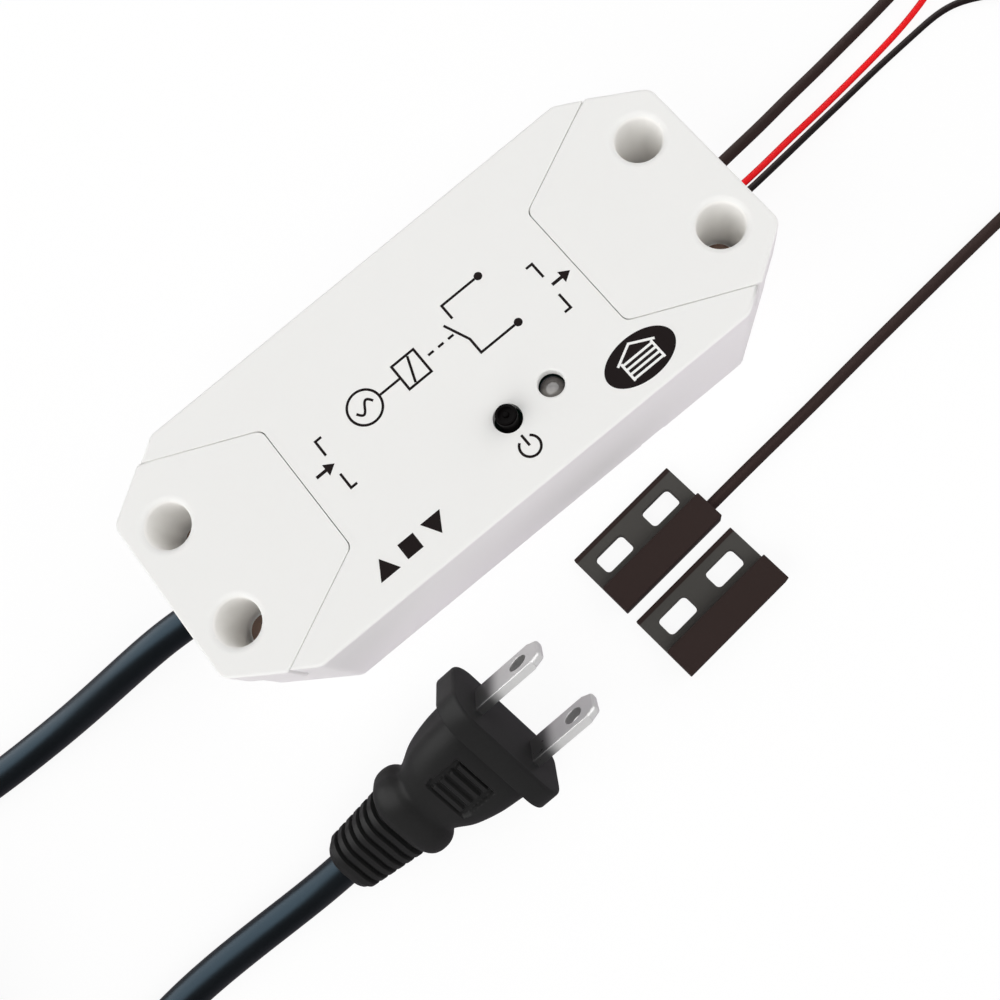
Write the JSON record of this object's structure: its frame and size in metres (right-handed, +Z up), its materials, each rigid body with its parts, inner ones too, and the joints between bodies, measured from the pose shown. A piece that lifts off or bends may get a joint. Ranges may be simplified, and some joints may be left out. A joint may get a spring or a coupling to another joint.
{
  "type": "garage door controller",
  "caption": "Inline relay box for a garage door opener: flat housing with deep-screwed end covers, push button, lamp, mains lead with plug, output wires and a wired magnetic door sensor.",
  "frame": {"origin": "middle of the housing's flat underside, which rests on the surface", "axes": "+X from the mains end to the output end, +Y away from the door sensor, +Z up out of the housing's top face"},
  "size_m": [0.3919, 0.0862, 0.0262],
  "materials": {
    "white_case": "fine satin moulding",
    "black_button": "satin",
    "clear_lens": "clear resin",
    "spacer_nylon": "matte",
    "screw_steel": "zinc plated",
    "lead_metal": "tinned",
    "blade_metal": "bright nickel",
    "iron_parts": "plated",
    "contact_metal": "plain",
    "copper_winding": "enamelled",
    "yellow_tape": "tape",
    "ferrite": "sintered",
    "board_green": "solder mask",
    "radio_blue": "solder mask",
    "terminal_green": "satin",
    "dark_package": "moulded",
    "blue_case": "moulded",
    "resistor_green": "lacquer",
    "core_insulation": "smooth",
    "mains_jacket": "smooth vinyl",
    "sensor_jacket": "smooth vinyl",
    "red_insulation": "smooth vinyl",
    "black_insulation": "smooth vinyl",
    "tie_nylon": "satin",
    "plug_vinyl": "moulded vinyl",
    "sensor_case": "fine grain",
    "reed_glass": "clear",
    "black_resin": "poured",
    "magnet_iron": "sintered"
  },
  "bodies": {
    "controller": {"main_shell": "white_case", "base_plate": "white_case", "input_cover": "white_case", "output_cover": "white_case", "cover_screws": "screw_steel", "main_board": "board_green", "board_screws": "screw_steel", "input_terminal": "terminal_green", "output_terminal": "terminal_green", "terminal_screws": "screw_steel", "fuse_resistor": "resistor_green", "varistor": "blue_case", "transformer_core": "ferrite", "transformer_winding": "yellow_tape", "capacitors": "dark_package", "rectifier": "dark_package", "relay_base": "dark_package", "relay_case": "blue_case", "relay_yoke": "iron_parts", "relay_coil": "copper_winding", "relay_contact": "contact_metal", "wifi_board": "radio_blue", "wifi_shield": "lead_metal", "switch_body": "dark_package", "switch_dome": "lead_metal", "lamp": "clear_lens", "lamp_leads": "lead_metal", "lamp_spacer": "spacer_nylon", "cord_clamp": "spacer_nylon", "clamp_screws": "screw_steel", "mains_leads": "core_insulation", "sensor_leads": "core_insulation", "mains_cord": "mains_jacket", "mains_coil": "mains_jacket", "mains_tail": "mains_jacket", "mains_tie": "tie_nylon", "plug_body": "plug_vinyl", "plug_blades": "blade_metal", "sensor_cable": "sensor_jacket", "sensor_coil": "sensor_jacket", "sensor_tail": "sensor_jacket", "sensor_tie": "tie_nylon", "sensor_housing": "sensor_case", "reed_capsule": "reed_glass", "reed_blades": "lead_metal", "sensor_potting": "black_resin", "red_wire": "red_insulation", "red_coil": "red_insulation", "black_wire": "black_insulation", "black_coil": "black_insulation", "wire_ties": "tie_nylon", "wire_tips": "lead_metal"},
    "push_button": {"button": "black_button"},
    "relay_arm": {"relay_armature": "iron_parts"},
    "door_magnet": {"magnet_housing": "sensor_case", "magnet_bar": "magnet_iron", "magnet_potting": "black_resin"}
  },
  "joints": [
    {"name": "button_press", "type": "slide", "parent": "controller", "child": "push_button", "axis": [0, 0, -1], "range_m": [0, 0.0003], "stiffness_N_per_m": 3000},
    {"name": "relay_close", "type": "hinge", "parent": "controller", "child": "relay_arm", "pos_m": [0.0189, 0.0086, 0.0183], "axis": [0, -1, 0], "range_deg": [0, 4], "stiffness_Nm_per_rad": 0.02},
    {"name": "door_travel", "type": "slide", "parent": "controller", "child": "door_magnet", "axis": [0.0958, -0.9954, 0], "range_m": [0, 0.03]}
  ]
}
